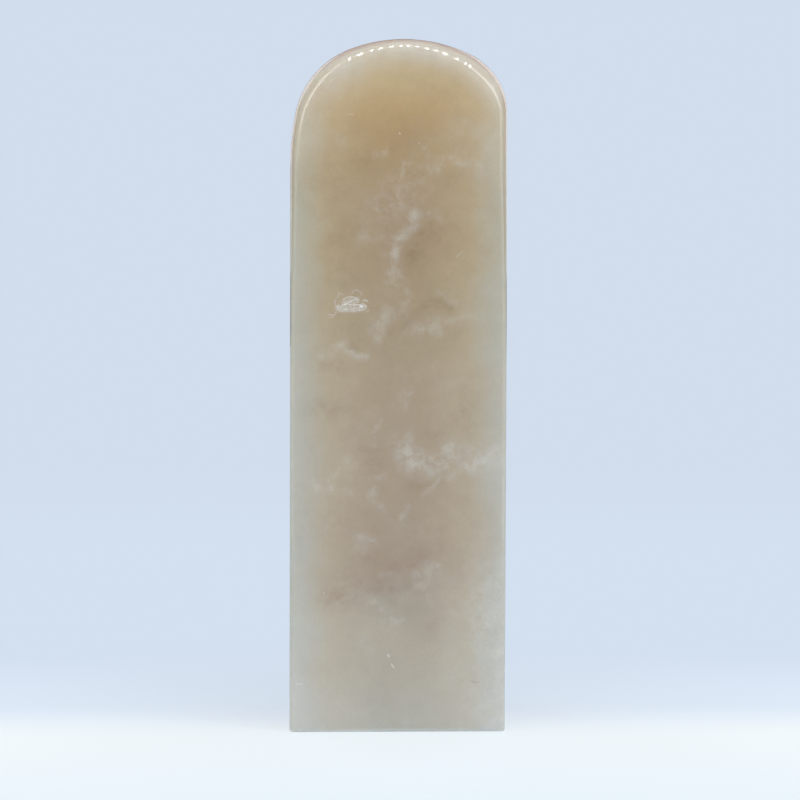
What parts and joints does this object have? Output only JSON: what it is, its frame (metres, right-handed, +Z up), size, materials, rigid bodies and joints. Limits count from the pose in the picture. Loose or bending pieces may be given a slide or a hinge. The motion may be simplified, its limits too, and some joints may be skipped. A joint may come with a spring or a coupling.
{
  "type": "seal stamp",
  "caption": "Blank seal stone: a square polished stone shaft with a flat seal face and an arched, hand-rounded head.",
  "frame": {"origin": "centre of the seal face, the flat bottom end that is carved and inked", "axes": "+Z up from the seal face to the crown of the arched head, -Y out of the front face, +X to the right of someone who faces the front"},
  "size_m": [0.025, 0.025, 0.0801],
  "materials": {
    "soft_stone": "polished, translucent beige carving stone with pale cloud wisps"
  },
  "bodies": {
    "root": {"seal_stone": "soft_stone"}
  },
  "joints": []
}
